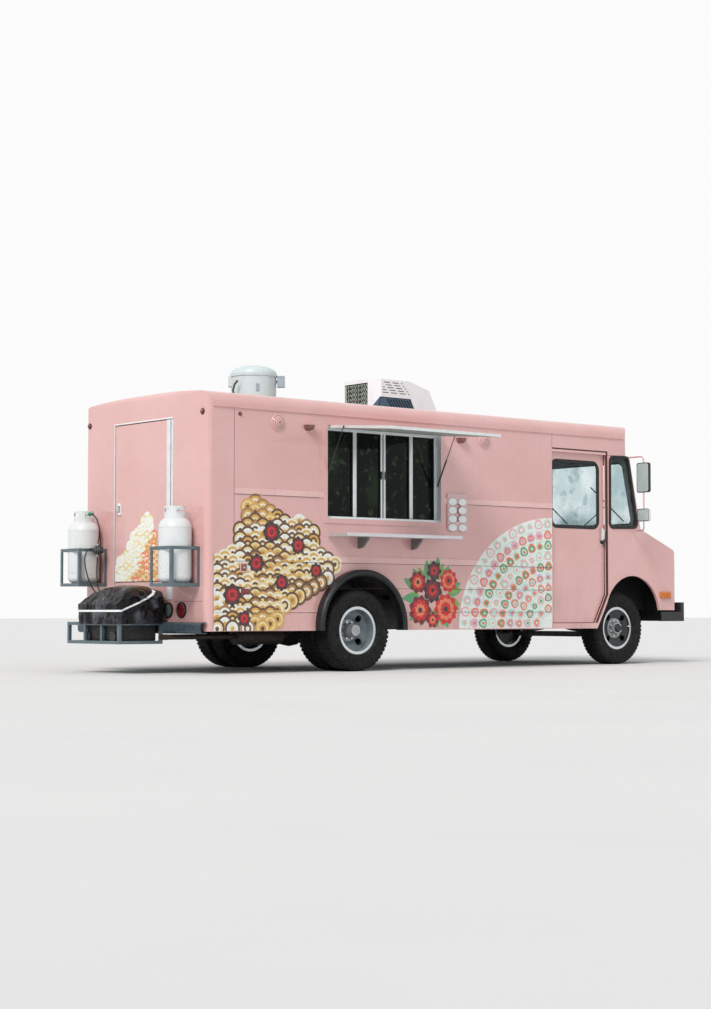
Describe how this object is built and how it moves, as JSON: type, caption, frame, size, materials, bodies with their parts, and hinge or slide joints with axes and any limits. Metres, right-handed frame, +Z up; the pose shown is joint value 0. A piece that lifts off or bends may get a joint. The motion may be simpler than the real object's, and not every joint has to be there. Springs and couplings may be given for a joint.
{
  "type": "food truck",
  "caption": "Walk-in food truck with dual rear wheels, a serving window under a hinged awning, sliding cab doors, roof cooler, gas cylinders and a rear generator rack.",
  "frame": {"origin": "on the ground, on the centreline, midway between the axles", "axes": "+X forward, +Y to the truck's left, +Z up"},
  "size_m": [7.27, 3.3554, 3.078],
  "materials": {
    "body_paint": "semi-gloss pink paint",
    "chassis_black": "dull black chassis paint",
    "floor_plate": "dull tread plate",
    "clear_glass": "clear glass with a green cast",
    "dark_glass": "dark glass",
    "window_alloy": "satin anodised",
    "shelf_steel": "satin",
    "black_rubber": "dull black",
    "bumper_black": "semi-gloss black",
    "grey_steel": "blue-grey paint",
    "grille_black": "semi-gloss black",
    "lamp_lens": "fluted clear lens",
    "amber_lens": "fluted amber lens",
    "red_lens": "fluted red lens",
    "ac_white": "white moulding",
    "fan_grey": "light grey paint",
    "tank_white": "white paint",
    "regulator_grey": "dark grey paint",
    "hose_rubber": "black",
    "cover_vinyl": "glossy black coated cloth",
    "exhaust_steel": "dull, heat stained",
    "engine_iron": "dull",
    "dash_plastic": "dull black",
    "seat_vinyl": "black vinyl",
    "tyre_rubber": "dull black",
    "rim_silver": "silver paint",
    "strut_black": "semi-gloss black",
    "strut_chrome": "polished"
  },
  "bodies": {
    "truck": {"frame_rails": "chassis_black", "floor": "floor_plate", "wall_right": "body_paint", "wall_left": "body_paint", "wall_rear": "body_paint", "roof": "body_paint", "front_cap": "body_paint", "fenders": "body_paint", "wheelhouses": "floor_plate", "engine_cover": "floor_plate", "hood": "body_paint", "nose_panel": "body_paint", "cab_glass": "clear_glass", "serving_frame": "body_paint", "window_frame": "window_alloy", "window_glass": "dark_glass", "shelf": "shelf_steel", "wheel_flares": "black_rubber", "front_bumper": "bumper_black", "rear_bumper": "grey_steel", "grille": "grille_black", "headlamps": "lamp_lens", "side_markers": "amber_lens", "tail_lamps": "red_lens", "mirrors": "body_paint", "roof_ac": "ac_white", "roof_fan": "fan_grey", "rear_racks": "grey_steel", "propane_tanks": "tank_white", "gas_regulator": "regulator_grey", "gas_pigtail": "hose_rubber", "gas_hose": "hose_rubber", "gas_hose_loop": "hose_rubber", "generator": "cover_vinyl", "rear_axle": "chassis_black", "front_axle": "chassis_black", "leaf_springs": "chassis_black", "exhaust": "exhaust_steel", "fuel_tank": "chassis_black", "engine": "engine_iron", "dash": "dash_plastic", "seat": "seat_vinyl"},
    "wheel_front_right": {"tyre_front_right": "tyre_rubber", "rim_front_right": "rim_silver"},
    "wheel_front_left": {"tyre_front_left": "tyre_rubber", "rim_front_left": "rim_silver"},
    "wheels_rear_right": {"tyres_rear_right": "tyre_rubber", "rims_rear_right": "rim_silver"},
    "wheels_rear_left": {"tyres_rear_left": "tyre_rubber", "rims_rear_left": "rim_silver"},
    "steering_knuckle_right": {"knuckle_right": "chassis_black"},
    "steering_knuckle_left": {"knuckle_left": "chassis_black"},
    "cab_door_right": {"door_right": "body_paint", "door_glass_right": "clear_glass"},
    "cab_door_left": {"door_left": "body_paint", "door_glass_left": "clear_glass"},
    "back_door": {"rear_door": "body_paint"},
    "awning_panel": {"awning": "body_paint"},
    "gas_strut_tubes": {"strut_tubes": "strut_black"},
    "gas_strut_rods": {"strut_rods": "strut_chrome"}
  },
  "joints": [
    {"name": "steer_right", "type": "hinge", "parent": "truck", "child": "steering_knuckle_right", "pos_m": [1.945, -0.77, 0.4], "axis": [0, 0, 1], "range_deg": [-30, 30]},
    {"name": "steer_left", "type": "hinge", "parent": "truck", "child": "steering_knuckle_left", "pos_m": [1.945, 0.77, 0.4], "axis": [0, 0, 1], "range_deg": [-30, 30]},
    {"name": "spin_front_right", "type": "hinge", "parent": "steering_knuckle_right", "child": "wheel_front_right", "pos_m": [1.945, -0.86, 0.4], "axis": [0, 1, 0], "continuous": true},
    {"name": "spin_front_left", "type": "hinge", "parent": "steering_knuckle_left", "child": "wheel_front_left", "pos_m": [1.945, 0.86, 0.4], "axis": [0, 1, 0], "continuous": true},
    {"name": "spin_rear_right", "type": "hinge", "parent": "truck", "child": "wheels_rear_right", "pos_m": [-1.945, -0.876, 0.4], "axis": [0, 1, 0], "continuous": true},
    {"name": "spin_rear_left", "type": "hinge", "parent": "truck", "child": "wheels_rear_left", "pos_m": [-1.945, 0.876, 0.4], "axis": [0, 1, 0], "continuous": true},
    {"name": "door_slide_right", "type": "slide", "parent": "truck", "child": "cab_door_right", "axis": [-1, 0, 0], "range_m": [0, 0.75]},
    {"name": "door_slide_left", "type": "slide", "parent": "truck", "child": "cab_door_left", "axis": [-1, 0, 0], "range_m": [0, 0.75]},
    {"name": "rear_door_hinge", "type": "hinge", "parent": "truck", "child": "back_door", "pos_m": [-3.738, -0.46, 1.64], "axis": [0, 0, 1], "range_deg": [0, 95]},
    {"name": "awning_hinge", "type": "hinge", "parent": "truck", "child": "awning_panel", "pos_m": [-1.5525, -1.087, 2.388], "axis": [1, 0, 0], "range_deg": [0, 85.5]},
    {"name": "strut_swing", "type": "hinge", "parent": "truck", "child": "gas_strut_tubes", "pos_m": [-1.5525, -1.026, 1.866], "axis": [1, 0, 0], "range_deg": [-17.27, 0]},
    {"name": "strut_slide", "type": "slide", "parent": "gas_strut_tubes", "child": "gas_strut_rods", "axis": [0, -0.4716, 0.8818], "range_m": [-0.2562, 0]}
  ],
  "couplings": [
    {"joint": "steer_left", "follows": "steer_right", "ratio": 1},
    {"joint": "strut_swing", "follows": "awning_hinge", "ratio": -0.19971},
    {"joint": "strut_slide", "follows": "awning_hinge", "m_per_rad": -0.17113}
  ]
}
